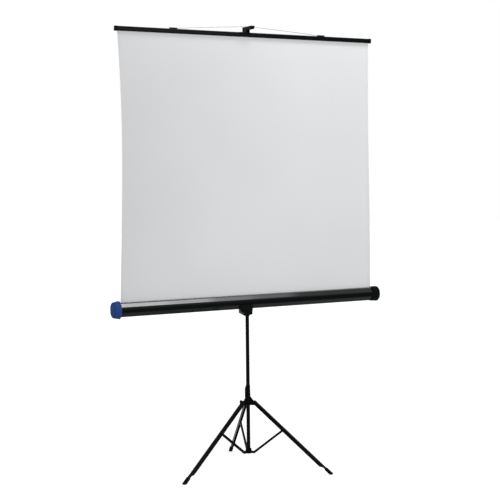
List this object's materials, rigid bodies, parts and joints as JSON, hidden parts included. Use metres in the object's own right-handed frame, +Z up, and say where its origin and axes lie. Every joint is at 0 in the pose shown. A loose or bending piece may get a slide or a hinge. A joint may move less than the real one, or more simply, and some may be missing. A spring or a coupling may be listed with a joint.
{
  "type": "tripod projector screen",
  "caption": "Free-standing projector screen: folding steel tripod, telescopic mast, spring-roller case and white cloth drawn up to a hook by a wire bail on its top bar.",
  "frame": {"origin": "on the floor, under the centre of the bounding box", "axes": "+Z up; +X along the top bar, to the right as seen from the viewing side; the cloth faces -Y"},
  "size_m": [1.926, 0.9478, 2.8501],
  "materials": {
    "black_paint": "satin black powder coat",
    "gloss_black": "glossy black enamel",
    "black_plastic": "satin black moulding",
    "blue_plastic": "satin dark blue moulding",
    "rubber": "matt black rubber",
    "bright_steel": "zinc-plated steel",
    "white_cloth": "matt white coated cloth",
    "roller_tin": "plain rolled steel"
  },
  "bodies": {
    "mast": {"main_tube": "black_paint", "strut_collar": "black_plastic", "tube_top_bush": "black_plastic", "saddle_bracket": "black_plastic", "case_back_plate": "bright_steel", "case_pivot_bolt": "bright_steel", "case_tube": "gloss_black", "end_cap_left": "blue_plastic", "end_cap_right": "black_plastic", "spring_rod": "bright_steel", "torsion_spring": "bright_steel", "screen_fabric": "white_cloth"},
    "strut_1": {"strut_1": "black_paint", "collar_pin_1": "black_paint"},
    "leg_1": {"leg_1": "black_paint", "foot_1": "rubber", "hub_pin_1": "black_paint", "strut_pin_1": "black_paint"},
    "strut_2": {"strut_2": "black_paint", "collar_pin_2": "black_paint"},
    "leg_2": {"leg_2": "black_paint", "foot_2": "rubber", "hub_pin_2": "black_paint", "strut_pin_2": "black_paint"},
    "strut_3": {"strut_3": "black_paint", "collar_pin_3": "black_paint"},
    "leg_3": {"leg_3": "black_paint", "foot_3": "rubber", "hub_pin_3": "black_paint", "strut_pin_3": "black_paint"},
    "hub": {"leg_hub": "black_plastic"},
    "hub_knob": {"hub_lock_knob": "black_plastic"},
    "extension": {"extension_tube": "bright_steel", "extension_plug": "black_plastic", "hanger_hook": "black_paint", "top_bar": "black_paint", "bar_cap_left": "black_plastic", "bar_cap_right": "black_plastic", "hem_rod": "roller_tin", "bail_wire": "bright_steel", "bail_clip_left": "black_plastic", "bail_clip_right": "black_plastic", "stow_clip": "black_plastic"},
    "roller": {"roller_tube": "roller_tin", "fabric_roll": "white_cloth", "roller_plug_left": "black_plastic", "roller_plug_right": "black_plastic"},
    "extension_knob": {"extension_lock_knob": "black_plastic"},
    "saddle_knob": {"saddle_lock_knob": "black_plastic"}
  },
  "joints": [
    {"name": "strut_1_fold", "type": "hinge", "parent": "mast", "child": "strut_1", "pos_m": [0.00994, -0.03271, 0.1162], "axis": [0.9652, -0.2615, 0], "range_deg": [0, 46]},
    {"name": "strut_2_fold", "type": "hinge", "parent": "mast", "child": "strut_2", "pos_m": [-0.03673, -0.07912, 0.1162], "axis": [-0.2561, 0.9666, 0], "range_deg": [0, 46]},
    {"name": "strut_3_fold", "type": "hinge", "parent": "mast", "child": "strut_3", "pos_m": [0.02679, -0.09633, 0.1162], "axis": [-0.7091, -0.7051, 0], "range_deg": [0, 46]},
    {"name": "leg_1_fold", "type": "hinge", "parent": "strut_1", "child": "leg_1", "pos_m": [0.0622, 0.16018, 0.27435], "axis": [-0.9652, 0.2615, 0], "range_deg": [0, 92]},
    {"name": "leg_2_fold", "type": "hinge", "parent": "strut_2", "child": "leg_2", "pos_m": [-0.22991, -0.1303, 0.27435], "axis": [0.2561, -0.9666, 0], "range_deg": [0, 92]},
    {"name": "leg_3_fold", "type": "hinge", "parent": "strut_3", "child": "leg_3", "pos_m": [0.16771, -0.23804, 0.27435], "axis": [0.7091, 0.7051, 0], "range_deg": [0, 92]},
    {"name": "hub_rise", "type": "hinge", "parent": "leg_1", "child": "hub", "pos_m": [0.00994, -0.03271, 0.4325], "axis": [0.9652, -0.2615, 0], "range_deg": [0, 46]},
    {"name": "hub_knob_turn", "type": "hinge", "parent": "hub", "child": "hub_knob", "pos_m": [-0.02821, -0.04102, 0.4405], "axis": [-0.7051, 0.7091, 0], "range_deg": [0, 540]},
    {"name": "extension_slide", "type": "slide", "parent": "mast", "child": "extension", "axis": [0, 0, -1], "range_m": [0, 1.24], "deforming": ["screen_fabric"]},
    {"name": "roller_spin", "type": "hinge", "parent": "mast", "child": "roller", "pos_m": [0, -0.15659, 1.105], "axis": [-1, 0, 0], "range_deg": [0, 4000]},
    {"name": "extension_knob_turn", "type": "hinge", "parent": "mast", "child": "extension_knob", "pos_m": [0, -0.03109, 1.514], "axis": [0, 1, 0], "range_deg": [0, 540]},
    {"name": "saddle_knob_turn", "type": "hinge", "parent": "mast", "child": "saddle_knob", "pos_m": [0, -0.02709, 1.08], "axis": [0, 1, 0], "range_deg": [0, 540]}
  ],
  "couplings": [
    {"joint": "strut_2_fold", "follows": "strut_1_fold", "ratio": 1},
    {"joint": "strut_3_fold", "follows": "strut_1_fold", "ratio": 1},
    {"joint": "leg_1_fold", "follows": "strut_1_fold", "ratio": 2},
    {"joint": "leg_2_fold", "follows": "strut_1_fold", "ratio": 2},
    {"joint": "leg_3_fold", "follows": "strut_1_fold", "ratio": 2},
    {"joint": "hub_rise", "follows": "strut_1_fold", "ratio": 1},
    {"joint": "roller_spin", "follows": "extension_slide", "rad_per_m": 54.645}
  ]
}
